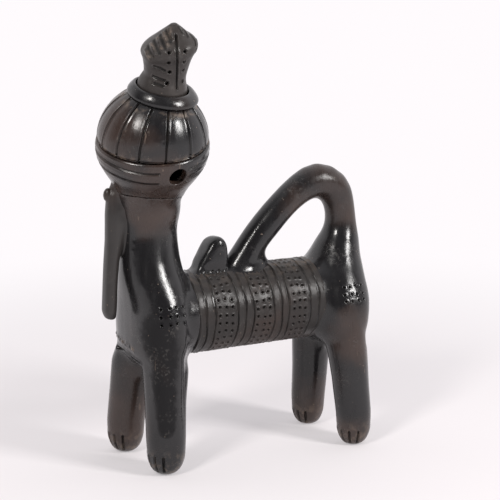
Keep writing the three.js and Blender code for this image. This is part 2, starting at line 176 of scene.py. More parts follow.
def blend(a, b, radius):
    """The union of two fields, with a clay fillet of about that radius between them."""
    share = np.clip(0.5 + 0.5 * (b - a) / radius, 0, 1)
    return b + (a - b) * share - radius * share * (1 - share)


def close_folds(block, field, radius):
    """Fills every fold that a ball of that radius can't reach into."""
    return block.measured(field - radius) + radius


def soften(field, cells):
    """A field smoothed over about that many cells."""
    reach = math.ceil(2.5 * cells)
    weights = np.exp(-0.5 * (np.arange(-reach, reach + 1) / cells) ** 2)
    weights /= weights.sum()
    for axis in range(3):
        edges = [(reach, reach) if i == axis else (0, 0) for i in range(3)]
        padded = np.moveaxis(np.pad(field, edges, mode="edge"), axis, 0)
        count = field.shape[axis]
        total = sum(w * padded[i : i + count] for i, w in enumerate(weights))
        field = np.moveaxis(total, 0, axis)
    return field.astype(np.float32)


def unevenness(x, y, z, scale):
    """Slow waves from -1 to 1, as fingers leave in clay. scale is their length in metres."""
    waves = (
        (0.9, 0.3, 0.2, 1.3),
        (-0.35, 0.8, 0.45, 4.1),
        (0.25, -0.45, 0.85, 2.6),
        (0.6, 0.55, -0.7, 0.4),
    )
    k = TAU / scale
    return sum(np.sin(k * (a * x + b * y + c * z) + d) for a, b, c, d in waves) / len(waves)


# Clay skins


def length(vectors):
    return np.sqrt((vectors**2).sum(axis=-1))


def hump(away, power=2):
    """1 where away is 0, about a third where it is 1, and soon nothing beyond."""
    return np.exp(-(away**power))


def beside_line(points, start, end):
    """How far points are from a straight line, and the share of it that lies before them."""
    run = end - start
    share = np.clip((points - start) @ run / (run @ run), 0, 1)
    return length(points - start - share[:, None] * run), share


def plain_object(name, points, faces):
    mesh = bpy.data.meshes.new(name)
    mesh.from_pydata(np.array(points).tolist(), [], [list(map(int, face)) for face in faces])
    mesh.update()
    thing = bpy.data.objects.new(name, mesh)
    bpy.context.scene.collection.objects.link(thing)
    return thing


class Skin:
    """A mesh of clay, with the marks that tools, fire and hands have left at each of its points."""

    def __init__(self, points, faces):
        self.renew(points, faces)

    def renew(self, points, faces):
        """Takes another mesh, which has no marks yet."""
        self.points = points
        self.faces = faces
        self.marked = np.zeros(len(points))  # how deep a tool has gone in, from 0 to 1
        self.dusted = np.zeros(len(points))  # how much tan dust is left there
        self.raw = np.zeros(len(points))  # where the inside of the clay shows
        self.rubbed = np.zeros(len(points))  # edges that hands have rubbed bright
        self.find_normals()

    def find_normals(self):
        """Normals at the points, from faces of three or more corners."""
        normals = np.zeros_like(self.points)
        for count in set(map(len, self.faces)):
            corners = np.array([face for face in self.faces if len(face) == count])
            around = self.points[corners]
            facing = sum(
                np.cross(around[:, i] - around[:, 0], around[:, i + 1] - around[:, 0])
                for i in range(1, count - 1)
            )
            for corner in range(count):
                for axis in range(3):
                    here = corners[:, corner]
                    normals[:, axis] += np.bincount(here, facing[:, axis], len(self.points))
        self.normals = normals / np.maximum(length(normals), 1e-12)[:, None]

    def relax(self, shares, where=None):
        """Moves the points towards the middle of their neighbours by one share after the other,
        everywhere alike or by the weights given."""
        pairs = np.array([(face[i - 1], face[i]) for face in self.faces for i in range(len(face))])
        pairs = np.concatenate([pairs, pairs[:, ::-1]])
        size = len(self.points)
        count = np.maximum(np.bincount(pairs[:, 0], minlength=size), 1)[:, None]
        for share in shares:
            sums = [np.bincount(pairs[:, 0], self.points[pairs[:, 1], i], size) for i in range(3)]
            step = share * (np.stack(sums, axis=1) / count - self.points)
            self.points = self.points + (step if where is None else step * where[:, None])
        self.find_normals()

    def refine(self, places):
        """Splits the edges near the given places."""
        mesh = bmesh.new()
        for point in self.points:
            mesh.verts.new(point)
        mesh.verts.ensure_lookup_table()
        for face in self.faces:
            mesh.faces.new([mesh.verts[i] for i in face])
        points = np.array([vert.co[:] for vert in mesh.verts])
        near = self.nearest(points, places) < MARK_REACH
        mesh.verts.index_update()
        edges = [e for e in mesh.edges if near[e.verts[0].index] and near[e.verts[1].index]]
        bmesh.ops.subdivide_edges(mesh, edges=edges, cuts=1, use_grid_fill=True, smooth=1)
        mesh.verts.index_update()
        points = np.array([vert.co[:] for vert in mesh.verts])
        faces = [[vert.index for vert in face.verts] for face in mesh.faces]
        mesh.free()
        self.renew(points, faces)

    @staticmethod
    def nearest(points, places):
        """Distance from each point to the nearest place."""
        best = np.full(len(points), 1.0)
        for place in places:
            best = np.minimum(best, length(points - place))
        return best

    def touches(self, lines):
        """Where lines from outside first meet the clay. Each is given by a place that it runs
        through and its direction; those that miss the clay are left out."""
        found = []
        for place, towards in lines:
            towards = np.array(towards) / np.linalg.norm(towards)
            start = np.array(place) - FAR * towards
            offset = self.points - start
            along = offset @ towards
            beside = length(offset - along[:, None] * towards)
            meets = (beside < 1.3 * STEP) & (self.normals @ towards < -0.1)
            if meets.any():
                meets &= along < along[meets].min() + 2 * MM
                first = np.flatnonzero(meets)[np.argmin(beside[meets])]
                found.append(start + along[first] * towards)
        return found

    def press(self, depth):
        """Moves the points into the clay by a depth for each."""
        self.points = self.points - self.normals * depth[:, None]
        self.find_normals()

    def prick(self, places, radius=DOT_RADIUS, depth=DOT_DEPTH, burr=0.2 * MM):
        """Round holes of a pointed stick, with a low burr."""
        away = self.nearest(self.points, places) / radius
        hole = np.clip(1.25 * (1 - away**2), 0, 1)
        edge = hump((away - 1.35) / 0.35)
        self.press(depth * hole - burr * edge)
        self.marked = np.maximum(self.marked, hole)
        self.rubbed = np.maximum(self.rubbed, edge)

    def incise(self, course, width, depth, burr=0.15):
        """A line drawn with a tool through the places of the course, deepest in its middle."""
        away = self.beside(course) / width
        groove = hump(away)
        edge = hump((away - 1.8) / 0.7)
        self.press(depth * (groove - burr * edge))
        self.marked = np.maximum(self.marked, groove)
        if burr:
            self.rubbed = np.maximum(self.rubbed, edge)

    def beside(self, course):
        """Distance from each point to a course of straight pieces."""
        best = np.full(len(self.points), 1.0)
        for start, end in zip(course[:-1], course[1:]):
            best = np.minimum(best, beside_line(self.points, start, end)[0])
        return best

    def add(self, name, finish=None, body="vessel", slot="burnished_clay"):
        """Makes the object, with the marks as a value on its points."""
        piece = plain_object(name, self.points, self.faces)
        mesh = piece.data
        mesh.polygons.foreach_set("use_smooth", np.ones(len(mesh.polygons), bool))
        marks = {
            "marked": self.marked,
            "dusted": self.dusted,
            "raw": self.raw,
            "rubbed": self.rubbed,
            "brown_and_reflection": brown_and_floor_reflection(self.points),
            "painted_shade": painted_shade_share(self.points),
        }
        for mark, values in marks.items():
            layer = mesh.attributes.new(mark, "FLOAT", "POINT")
            layer.data.foreach_set("value", values.astype(np.float32))
        mesh.materials.append(CLAYS[finish or slot])
        mesh.update()
        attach(piece, body)
        return piece


# Places where the clay is browner, each with how far round it the brown reaches, in mm: patches that the
# fire left brown, and under the barrel a painted reflection of the pale floor
BROWN_AND_FLOOR_REFLECTION_PLACES = (
    ((-84, 0, 204), 30),
    ((-99, 0, 178), 22),
    ((-62, -4, 184), 22),
    ((-81, -29, 8), 34),
    ((-88, 30, 8), 22),
    ((70, -37, 30), 45),
    ((108, 0, 245), 48),
    ((72, 30, 214), 26),
    ((72, 20, 190), 24),
    ((-88, 30, 88), 26),
    # Painted reflection of the pale floor on the lower barrel
    ((-12, -4, 74), 52),
)


def brown_and_floor_reflection(points):
    """How brown the clay is, from 0 to 1: the fire's brown patches and the painted floor reflection under
    the barrel.
    """
    total = np.zeros(len(points))
    for place, reach in BROWN_AND_FLOOR_REFLECTION_PLACES:
        away = length(points - np.array(place) * MM) / (reach * MM)
        total = np.maximum(total, hump(away, 4))
    return total


# Painted shade: a streak down the left flank and the front left leg where the clay's reflection is dulled
PAINTED_SHADE_STREAK = (np.array((71.5, 34, 36)) * MM, np.array((75.5, 31, 105)) * MM)
STREAK_LOW = 7 * MM
STREAK_HIGH = 19 * MM


def painted_shade_share(points):
    """How strongly the painted shade streak dulls the clay, from 0 to 1."""
    away, share = beside_line(points, *PAINTED_SHADE_STREAK)
    return hump(away / (STREAK_LOW + (STREAK_HIGH - STREAK_LOW) * share), 3)


def merged_box(names, margin=MARGIN):
    boxes = [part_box(name) for name in names]
    low = [min(box[0][i] for box in boxes) - margin for i in range(3)]
    high = [max(box[1][i] for box in boxes) + margin for i in range(3)]
    return low, high


def hollowed(block, outer, top):
    """The clay between an outer form and the hollow a wall's thickness inside it."""
    _, _, z = block.axes()
    hollow = np.maximum(outer + WALL, HOLLOW_FLOOR - z)
    hollow = np.maximum(hollow, z - top)
    return np.maximum(outer, -hollow)


# What the front and the hind quarters share
FRONT_TOES = (57, 28, 0, -28, -57)  # degrees from straight ahead
REAR_TOES = (75, 42, 10, -20, -50)
TOE_WIDTH = 0.8 * MM
TOE_DEPTH = 1.8 * MM
COLUMN_RADIUS = 12.6 * MM
COLUMN_LOW = 28 * MM
COLUMN_HIGH = 103 * MM
FLARE = 15 * MM  # how far the clay of the chest and the haunch may flare out along the barrel
DUSTY_FOOT = 17 * MM


def flank_dots(skin, columns, rows):
    """Dots on both flanks, each a little out of line."""
    lines = []
    for side in (1, -1):
        for x in columns:
            for z in rows:
                x_off, z_off = chance.uniform(-0.5, 0.5), chance.uniform(-0.5, 0.5)
                lines.append((np.array((x + x_off, 0, z + z_off)) * MM, (0, -side, 0)))
    return skin.touches(lines)


def side_of(leg):
    """1 for a leg on the animal's left, -1 for one on its right."""
    low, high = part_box(leg)
    return 1 if low.y + high.y > 2 * BARREL_Y else -1


def outermost(name, side):
    """How far a solid reaches to that side."""
    return side * max(side * corner.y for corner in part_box(name))


def foot_centre(leg):
    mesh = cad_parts[leg].data
    ground = [vert.co for vert in mesh.vertices if vert.co.z < 10 * MM]
    return [(min(v[i] for v in ground) + max(v[i] for v in ground)) / 2 for i in range(2)]


def toe_slits(skin, legs, angles, low, high):
    """The courses of upright slits round the front of the feet."""
    slits = []
    for leg in legs:
        foot = foot_centre(leg)
        for angle in angles:
            turn = math.radians(angle)
            inward = (-math.cos(turn), -side_of(leg) * math.sin(turn), 0)
            slits.append(skin.touches([((*foot, z), inward) for z in np.linspace(low, high, 5)]))
    return slits


def mark_quarters(skin, dots, slits, hems=()):
    """Makes the mesh finer at the marks, pricks the dots, cuts the slits and dusts the feet."""
    skin.refine(dots + [place for course in (*slits, *hems) for place in course])
    skin.prick(dots)
    for slit in slits:
        skin.incise(slit, TOE_WIDTH, TOE_DEPTH)
    skin.dusted = 0.3 * hump(skin.points[:, 2] / DUSTY_FOOT, 4)


def leg_column(block, leg, body, flank_x):
    """Clay that carries the outer side of a leg straight up into the flank."""
    side = side_of(leg)
    foot_y, flank_y = (outermost(name, side) - side * COLUMN_RADIUS for name in (leg, body))
    start = np.array((foot_centre(leg)[0], foot_y, COLUMN_LOW))
    run = np.array((flank_x, flank_y, COLUMN_HIGH)) - start
    offset = [axis - first for axis, first in zip(block.axes(), start)]
    share = np.clip(sum(o * r for o, r in zip(offset, run)) / (run @ run), 0, 1)
    return np.sqrt(sum((o - share * r) ** 2 for o, r in zip(offset, run))) - COLUMN_RADIUS


def with_legs(block, outer, legs, body, flank_x):
    for leg in legs:
        outer = np.minimum(outer, block.node(leg))
        outer = np.minimum(outer, leg_column(block, leg, body, flank_x))
    return outer


# Front quarters: neck, chest and front legs as one skin of clay
SHOULDER_COLUMNS = (73, 67, 61.5, 55)
SHOULDER_ROWS = (124.2, 118.6, 112.7)
FRONT_FLANK_X = 64 * MM
BARREL_IN_CHEST = 60 * MM
ABOVE_CRACK = 13 * MM  # what the field takes in above the joint of neck and head
HEM = ((82.1, -26.4, 84.1), (82.5, -14.5, 84.9), (82.2, -4.2, 83.7), (80.9, 3.5, 81.7), (79, 8, 80.5))
UPPER_HEM = ((82, -29, 93.4), (83.9, -14.5, 91.8), (83.9, -3.7, 90.8), (83.5, 4.3, 89.7))
RIDGE_WIDTH = 1.9 * MM
RIDGE_HEIGHT = 1.3 * MM

# Heights at which the flanks are fuller and the neck slimmer, and by how much, in mm
FULLER_AT, FULLER_BY = 116, 1.7
SLIMMER_AT, SLIMMER_BY = 152, 1.6
NECK_X = 66  # about which the slimmer neck is turned a little outwards at the front
NECK_TURN = 0.16


def round_shoulders(skin):
    """Fuller flanks at the height of the dots and a slimmer neck above them."""
    x, y, z = skin.points.T / MM
    out = y - BARREL_Y / MM
    fuller = FULLER_BY * hump((z - FULLER_AT) / 13)
    slimmer = SLIMMER_BY * hump((z - SLIMMER_AT) / 15)
    turned = NECK_TURN * np.clip(x - NECK_X, -14, 14) * hump((z - SLIMMER_AT) / 20)
    facing = np.clip(skin.normals[:, 1] * np.sign(out), 0, 1)
    facing = facing * (np.abs(out) > 12) * (x > FRONT_SEAM / MM)
    skin.points[:, 1] += (fuller - slimmer + turned) * MM * facing * np.sign(out)
    skin.find_normals()


def run_so_far(course):
    """The length of a course at each of its corners."""
    return np.concatenate([[0], np.cumsum(length(np.diff(course, axis=0)))])


def between(at, runs, course):
    return np.stack([np.interp(at, runs, column) for column in course.T], axis=1)


def evenly(course, spacing):
    """The same course with places at an even spacing."""
    course = np.array(course)
    runs = run_so_far(course)
    at = np.arange(0, runs[-1], spacing)
    return list(between(at, runs, course))


def front_quarters():
    legs = ["front_left_leg", "front_right_leg"]
    low, high = merged_box(["neck_and_chest", *legs])
    top = CRACK_HEIGHT + CRACK_SLOPE * high[0] + ABOVE_CRACK
    block = Block((FRONT_SEAM - FLARE - MARGIN, *low[1:]), (*high[:2], top))
    x, y, z = block.axes()
    outer = np.minimum(block.filled_node("neck_and_chest"), block.filled_node("head_bowl"))
    outer = with_legs(block, outer, legs, "neck_and_chest", FRONT_FLANK_X)
    behind = x < FRONT_SEAM
    barrel = block.barrel()
    outer = np.minimum(outer, np.maximum(barrel + np.where(behind, TUCK, 0), x - BARREL_IN_CHEST))
    outer = soften(close_folds(block, outer, FILLET), 2)
    outer = outer + 0.35 * MM * unevenness(x, y, z, 46 * MM)
    clay = hollowed(block, outer, top)
    flare = np.maximum(-(barrel + LAP), FRONT_SEAM - FLARE - x)
    clay = np.where(behind, np.maximum(clay, flare), clay)
    clay = np.maximum(clay, z - CRACK_HEIGHT - CRACK_SLOPE * x)
    skin = Skin(*block.surface(clay))
    skin.relax(EVEN_OUT * 2)
    round_shoulders(skin)
    dots = flank_dots(skin, SHOULDER_COLUMNS, SHOULDER_ROWS)
    slits = toe_slits(skin, legs, FRONT_TOES, 4 * MM, 15 * MM)
    hems = []
    for hem in (HEM, UPPER_HEM):
        lines = [(np.array(place) * MM, (-1, 0, 0)) for place in hem]
        hems.append(evenly(skin.touches(lines), 1.5 * MM))
    mark_quarters(skin, dots, slits, hems)
    skin.incise(hems[0], 1.1 * MM, 2 * MM, 0.4)
    rough = unevenness(*skin.points.T, 3.1 * MM)
    ridge = hump(skin.beside(hems[1]) / RIDGE_WIDTH)
    skin.press(-(0.4 + 0.6 * rough) * RIDGE_HEIGHT * ridge)
    skin.rubbed = np.maximum(skin.rubbed, ridge)
    skin.dusted = np.maximum(0.5 * ridge, skin.dusted)
    piece = skin.add("front_quarters")
    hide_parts("neck_and_chest", *legs)


# Hind quarters: haunch, rear legs and tail
HAUNCH_COLUMNS = (-77.5, -82.5, -87.7, -92.9)
HAUNCH_ROWS = (123.2, 118, 112.7)
HIND_FLANK_X = -84 * MM
BARREL_IN_HAUNCH = -78 * MM
HAUNCH_CEILING = 134 * MM
TAIL_FILLET = 9 * MM
TAIL_FLARE = 7 * MM  # how far the tail's front root flares out onto the ringed barrel
TAIL_JOINT_X = -92 * MM
TAIL_JOINT_Z = 166 * MM
TAIL_ROOT = (-98, -4, 163)
JOINT_REACH = 26 * MM  # how far round the tail's joint and root the clay is smoothed


def hind_quarters():
    legs = ["rear_left_leg", "rear_right_leg"]
    block = Block(*merged_box(["haunch", "tail_handle", *legs]))
    x, y, z = block.axes()
    haunch, tail = block.filled_node("haunch"), block.node("tail_handle")
    outer = with_legs(block, np.minimum(haunch, tail), legs, "haunch", HIND_FLANK_X)
    barrel = block.barrel()
    ahead = x > HIND_SEAM
    outer = np.minimum(outer, np.maximum(barrel + np.where(ahead, TUCK, 0), BARREL_IN_HAUNCH - x))
    filled = np.minimum(haunch, tail) - blend(haunch, tail, TAIL_FILLET)
    filled = np.where(np.maximum(haunch, tail) < REACH - 0.5 * MM, filled, 0)
    outer = soften(close_folds(block, outer, FILLET) - filled, 2)
    away = (x - TAIL_JOINT_X) ** 2 + (y - BARREL_Y) ** 2 + (z - TAIL_JOINT_Z) ** 2
    joint = np.exp(-away / JOINT_REACH**2)
    outer = outer + joint * (soften(outer, 5) - outer)
    outer = outer + 0.3 * MM * unevenness(x, y, z, 42 * MM)
    clay = hollowed(block, outer, HAUNCH_CEILING)
    flare = np.minimum(tail - TAIL_FLARE, x - HIND_SEAM - FLARE)
    clay = np.where(ahead, np.maximum(clay, np.maximum(flare, -(barrel + LAP))), clay)
    skin = Skin(*block.surface(clay))
    skin.relax(EVEN_OUT * 2)
    away = length(skin.points - np.array(TAIL_ROOT) * MM) / JOINT_REACH
    skin.relax(ROUND_OFF * 170, hump(away, 4))
    dots = flank_dots(skin, HAUNCH_COLUMNS, HAUNCH_ROWS)
    mark_quarters(skin, dots, toe_slits(skin, legs, REAR_TOES, 2.5 * MM, 12 * MM))
    piece = skin.add("hind_quarters")
    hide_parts("haunch", "tail_handle", *legs)


# Turned skins


def turns(count):
    """Even angles all round."""
    return np.arange(count) * TAU / count

def ring_faces(rows, count):
    """Quads between rings of points; the last ring joins the first."""
    ring = np.arange(count)
    following = (ring + 1) % count
    low = np.arange(rows)[:, None] * count
    high = ((np.arange(rows) + 1) % rows)[:, None] * count
    quads = np.stack([low + ring, low + following, high + following, high + ring], axis=-1)
    return quads.reshape(-1, 4)


def spread(corners, spacing, smooth=False):
    """Rows at an even spacing along a course of corners; the first two columns are its length."""
    corners = np.array(corners, float)
    runs = run_so_far(corners[:, :2])
    at = np.linspace(0, runs[-1], max(2, round(runs[-1] / spacing)) + 1)
    return spline(runs, corners, at) if smooth else between(at, runs, corners)


def spline(knots, values, at):
    """A Catmull-Rom curve through values at knots."""
    slopes = np.gradient(values, knots, axis=0)
    index = np.clip(np.searchsorted(knots, at, side="right") - 1, 0, len(knots) - 2)
    span = (knots[index + 1] - knots[index])[:, None]
    t = (at - knots[index])[:, None] / span
    a, b = values[index], values[index + 1]
    p, q = slopes[index] * span, slopes[index + 1] * span
    return a + t * p + t**2 * (3 * (b - a) - 2 * p - q) + t**3 * (2 * (a - b) + p + q)


def lean(points, tilts):
    """Points of the upright head turned to how it leans: first by their own tilt, then with it."""
    cos, sin = np.cos(tilts), np.sin(tilts)
    x = points[..., 0] * cos + points[..., 2] * sin
    z = points[..., 2] * cos - points[..., 0] * sin
    tilted = np.stack([x, points[..., 1], z], axis=-1)
    return tilted @ np.array(HEAD_LEAN).T + HEAD_CENTRE


def turned_skin(rows, tilts, count, shape=None):
    """A skin of rings about the head's axis, which may each be tilted. Rows are radius and height,
    all round the wall; shape gives a further radius for an angle and a row."""
    angle = turns(count)
    radius = np.repeat(rows[:, :1], count, axis=1)
    if shape is not None:
        radius = radius + shape(angle[None, :], rows[:, :, None])
    flat = [radius * np.cos(angle), radius * np.sin(angle), np.repeat(rows[:, 1:2], count, axis=1)]
    points = lean(np.stack(flat, axis=-1), np.reshape(tilts, (-1, 1)))
    return Skin(points.reshape(-1, 3), ring_faces(len(rows), count))


# Barrel
BARREL_COUNT = 400  # points round the barrel
RING_WIDTH = 0.5 * MM
RING_DEPTH = 1.05 * MM
RING_WANDER = 0.28 * MM


def ringed_barrel():
    inner = BARREL_RADIUS - WALL
    outside = spread([(HIND_SEAM, BARREL_RADIUS), (FRONT_SEAM, BARREL_RADIUS)], 0.46 * MM)
    inside = spread([(FRONT_SEAM, inner), (HIND_SEAM, inner)], 12 * MM)
    rows = np.concatenate([outside, inside])
    angle = turns(BARREL_COUNT)
    x = np.repeat(rows[:, :1], BARREL_COUNT, axis=1)
    radius = np.repeat(rows[:, 1:], BARREL_COUNT, axis=1)
    outer = radius > inner + 0.5 * WALL
    marked, rubbed = np.zeros_like(x), np.zeros_like(x)
    for i, ring in enumerate(RINGS):
        wander = RING_WANDER * (np.sin(angle * 3 + i) + np.sin(angle * 7 + 2.1 * i))
        away = np.abs(x - ring - wander) / RING_WIDTH
        groove = hump(away) * outer
        edge = hump((away - 1.9) / 0.7) * outer
        depth = RING_DEPTH * (1 + 0.25 * np.sin(angle * 5 + 3 * i))
        ragged = 0.3 + 0.2 * np.sin(angle * 23 + 5 * i) * np.sin(angle * 9 + i)
        radius = radius - depth * (groove - ragged * edge)
        marked = np.maximum(marked, groove)
        rubbed = np.maximum(rubbed, edge)
    y = BARREL_Y + radius * np.cos(angle)
    z = BARREL_Z + radius * np.sin(angle)
    waves = unevenness(x, y, z, 40 * MM) + 0.3 * unevenness(x, y, z, 6 * MM)
    outward = np.stack([0 * x, y - BARREL_Y, z - BARREL_Z], axis=-1)
    outward /= np.maximum(length(outward), 1e-9)[..., None]
    points = np.stack([x, y, z], axis=-1) + outward * (0.16 * MM * waves)[..., None]
    skin = Skin(points.reshape(-1, 3), ring_faces(len(rows), BARREL_COUNT))
    skin.marked, skin.rubbed = marked.ravel(), rubbed.ravel()
    for i, band in enumerate(BANDS):
        for middle in band:
            skin.prick(turn_of_dots(middle * MM, 0.25 + 0.35 * i), burr=0.32 * MM)
    upward = np.clip((skin.points[:, 2] - BARREL_Z) / BARREL_RADIUS, 0, 1)
    skin.dusted = 0.9 * upward**6 * np.maximum(marked.ravel(), 0.25)
    piece = skin.add("ringed_barrel", "ringed")
    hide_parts("barrel")


def turn_of_dots(middle, phase):
    """Places of one column's dots round the barrel, each a little out of line."""
    dots = []
    for i in range(DOTS_IN_TURN):
        angle = (i + phase + chance.uniform(-0.12, 0.12)) * TAU / DOTS_IN_TURN
        x = middle + chance.uniform(-0.4, 0.4) * MM
        y = BARREL_Y + BARREL_RADIUS * math.cos(angle)
        z = BARREL_Z + BARREL_RADIUS * math.sin(angle)
        dots.append(np.array((x, y, z)))
    return dots


# Spur and trunk
PITS = 24  # of coarse clay along the spur's foot
TRUNK_FILLETS = (7 * MM, 4.5 * MM)  # where the trunk joins the neck, well below the boss and near it
FILLET_DROPS = (14 * MM, 4 * MM)  # how far below the boss they hold


def luted(clay, base, fillet, reach):
    """Clay with a fillet that flares out onto what it is luted to, kept as a piece of its own."""
    flared = blend(clay, base + TUCK, fillet)
    return np.maximum(flared, np.maximum(clay - reach, -(base + LAP)))


def back_spur():
    block = Block(*merged_box(["back_spur"], 6 * MM), 0.5 * MM)
    x, y, z = block.axes()
    spur = soften(block.node("back_spur"), 6.5) - 1.1 * MM
    spur = spur + 0.35 * MM * unevenness(x, y, z, 17 * MM) + 0.08 * MM * unevenness(x, y, z, 7 * MM)
    skin = Skin(*block.surface(luted(spur, block.barrel(), 6 * MM, 4 * MM)))
    skin.relax(EVEN_OUT)
    rear, front = (corner.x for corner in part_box("back_spur"))
    rear, front = rear - 2 * MM, front + 2 * MM
    lines = []
    for i in range(PITS):
        along = rear + (front - rear) * (i // 2 + chance.uniform(0, 1)) / (PITS / 2)
        height = BARREL_Z + BARREL_RADIUS - chance.uniform(0, 5) * MM
        lines.append(((along, BARREL_Y, height), (0, -1 if i % 2 else 1, 0)))
    skin.prick(skin.touches(lines), 1 * MM, 0.9 * MM, 0)
    piece = skin.add("back_spur_horn")
    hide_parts("back_spur")


def hanging_trunk():
    block = Block(*merged_box(["trunk", "trunk_boss"], 8 * MM), 0.6 * MM)
    x, y, z = block.axes()
    strip = soften(block.node("trunk"), 1.8) + 0.2 * MM * unevenness(x, y, z, 24 * MM)
    base = blend(block.node("neck_and_chest"), block.node("head_bowl"), 5 * MM)
    boss_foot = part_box("trunk_boss")[0].z
    fillet = np.interp(z, [boss_foot - drop for drop in FILLET_DROPS], TRUNK_FILLETS)
    strip = luted(strip, soften(base, 2), fillet, 5 * MM)
    boss = soften(block.node("trunk_boss"), 1) - 0.1 * MM
    skin = Skin(*block.surface(blend(strip, boss, 1 * MM)))
    skin.relax(EVEN_OUT)
    piece = skin.add("hanging_trunk", "satin")
    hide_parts("trunk", "trunk_boss")


# Head bowl
BOWL_COUNT = 400  # points round the bowl
BOWL_RIM = 39.9 * MM
BOWL_DEPTH = 58 * MM
BOWL_ROWS = (  # shares of the rim's radius, and of the depth
    (0.57, 1),
    (0.58, 0.83),
    (0.62, 0.69),
    (0.7, 0.55),
    (0.845, 0.388),
    (0.957, 0.241),
    (0.995, 0.138),
    (1, 0.052),
    (0.995, 0.017),
    (0.972, 0),
)
HOLE_RADIUS = 6.2 * MM
HOLE_DROP = 11 * MM
HOLE_BACK = 3.3 * MM
LIP = 1.3 * MM
BOWL_LINES = ((-5.6, -1.5), (-14.4, -1.3))  # height over the seam and rise to the left, in mm
LINE_WIDTH = 0.85 * MM
LINE_DEPTH = 1.7 * MM
HOLLOW_DEPTH = 0.6 * MM  # of the shallow hollow along a line
EAR_GAP = 17  # degrees round the bowl, from the middle of an ear hole to the end of a line


def ear_bowl():
    outer = [(share * BOWL_RIM, -down * BOWL_DEPTH) for share, down in BOWL_ROWS]
    outer = spread(outer, 0.55 * MM, smooth=True)
    inner = [(radius - WALL, height) for radius, height in outer[::-6]]
    rows = np.array([*outer, *inner])
    skin = turned_skin(rows, SEAM_TILT * (1 + rows[:, 1] / BOWL_DEPTH), BOWL_COUNT)
    skin.points += skin.normals * (0.2 * MM * unevenness(*skin.points.T, 38 * MM))[:, None]
    for height, slope in BOWL_LINES:
        for course in bowl_line(height * MM, slope * MM):
            before = skin.marked
            skin.incise(course, 3 * LINE_WIDTH, HOLLOW_DEPTH, 0)
            skin.marked = before
            skin.incise(course, LINE_WIDTH, LINE_DEPTH, 0.3)
    cut_bowl(skin)
    piece = skin.add("ear_bowl")
    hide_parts("head_bowl")


def bowl_line(height, slope):
    """A line round the bowl, in two courses: it stops on either side of each ear hole."""
    shares, downs = zip(*BOWL_ROWS[::-1])
    courses = []
    for side in (1, -1):
        course = []
        for degrees in np.linspace(EAR_GAP, 180 - EAR_GAP, 61):
            angle = side * math.pi / 2 + math.radians(degrees)
            away = height + slope * math.sin(angle) + 0.25 * MM * math.sin(5 * angle)
            radius = BOWL_RIM * np.interp(-away / BOWL_DEPTH, downs, shares)
            point = np.array((radius * math.cos(angle), radius * math.sin(angle), away))
            course.append(lean(point, SEAM_TILT * (1 + away / BOWL_DEPTH)))
        courses.append(course)
    return courses


def tube(start, end, radius, count=48):
    """A closed rod between two points, as a cutter."""
    turn = Vector(end - start).to_track_quat("Z", "Y").to_matrix()
    points = []
    for place in (start, end):
        for angle in turns(count):
            edge = turn @ Vector((math.cos(angle), math.sin(angle), 0)) * radius
            points.append(Vector(place) + edge)
    sides = [(i, (i + 1) % count, count + (i + 1) % count, count + i) for i in range(count)]
    caps = [tuple(reversed(range(count))), tuple(range(count, 2 * count))]
    return points, sides + caps


def cut_bowl(skin):
    """Cuts the ear holes and the bottom that sits on the neck, then rounds the lips of the holes."""
    holes = [lean(np.array((-HOLE_BACK, side * 70 * MM, -HOLE_DROP)), 0.0) for side in (-1, 1)]
    points, faces = tube(*holes, HOLE_RADIUS)
    base = len(points)
    size = 90 * MM
    for rise in (-size, 0.25 * MM):
        for x, y in ((-1, -1), (1, -1), (1, 1), (-1, 1)):
            x, y = HEAD_CENTRE[0] + x * size, HEAD_CENTRE[1] + y * size
            points.append(Vector((x, y, CRACK_HEIGHT + CRACK_SLOPE * x + rise)))
    block = [(3, 2, 1, 0), (4, 5, 6, 7), (0, 1, 5, 4), (1, 2, 6, 5), (2, 3, 7, 6), (3, 0, 4, 7)]
    faces += [tuple(base + i for i in face) for face in block]
    cutter = plain_object("cutter", points, faces)
    whole = plain_object("whole", skin.points, skin.faces)
    cut = whole.modifiers.new("cut", "BOOLEAN")
    cut.object = cutter
    cut.solver = "MANIFOLD"
    graph = bpy.context.evaluated_depsgraph_get()
    mesh = bpy.data.meshes.new_from_object(whole.evaluated_get(graph))
    points = np.array([vert.co[:] for vert in mesh.vertices])
    marked = carried_marks(skin.points, skin.marked, points)
    skin.renew(points, [list(face.vertices) for face in mesh.polygons])
    skin.marked = marked
    for thing in (whole, cutter):
        bpy.data.objects.remove(thing)
    axis = (holes[1] - holes[0]) / np.linalg.norm(holes[1] - holes[0])
    offset = skin.points - holes[0]
    beside = length(offset - (offset @ axis)[:, None] * axis)
    deep = BOWL_RIM - length(skin.points - HEAD_CENTRE)
    skin.relax(ROUND_OFF * 6, hump((beside - HOLE_RADIUS) / LIP) * (deep < 1.4 * MM))
    in_hole = np.clip((HOLE_RADIUS + 2 * MM - beside) / (1 * MM), 0, 1)
    in_wall = np.clip((deep - 2.4 * MM) / (1 * MM), 0, 1) * (beside < 3 * HOLE_RADIUS)
    skin.raw = np.maximum(in_hole, in_wall) * (deep > 0.4 * MM)


def carried_marks(before, marked, after):
    """The marks at the points that a cut has left where they were."""
    grid = 0.01 * MM
    old, new = ([tuple(p) for p in np.round(points / grid).astype(int)] for points in (before, after))
    known = {place: mark for place, mark in zip(old, marked) if mark > 0.02}
    return np.array([known.get(place, 0.0) for place in new])


# Dome with its lobes. The grooves are as far round as the photograph shows them, in degrees
# from straight ahead, and evenly spread over the far side.
DOME_COUNT = 448  # points round the dome
DOME_RADIUS = 39.2 * MM
SEAM = 0.3 * MM  # gap between dome and bowl
LEDGE = 32 * MM
MOUTH_RADIUS = 15.4 * MM
DOME_GROOVES = (-21.7, 3.3, 27, 52.5, 79.7, 108, 135, 160.5, 186, 211.5, 237, 262.5, 288, 313)
LOBE_CUSHION = 0.35 * MM
GROOVE_DEPTH = 1.6 * MM
GROOVE_WIDTH = 0.6 * MM
GROOVE_BURR = 0.4 * MM
RIM_INSET = 1.5 * MM  # of the lobes' lower ends, above the seam


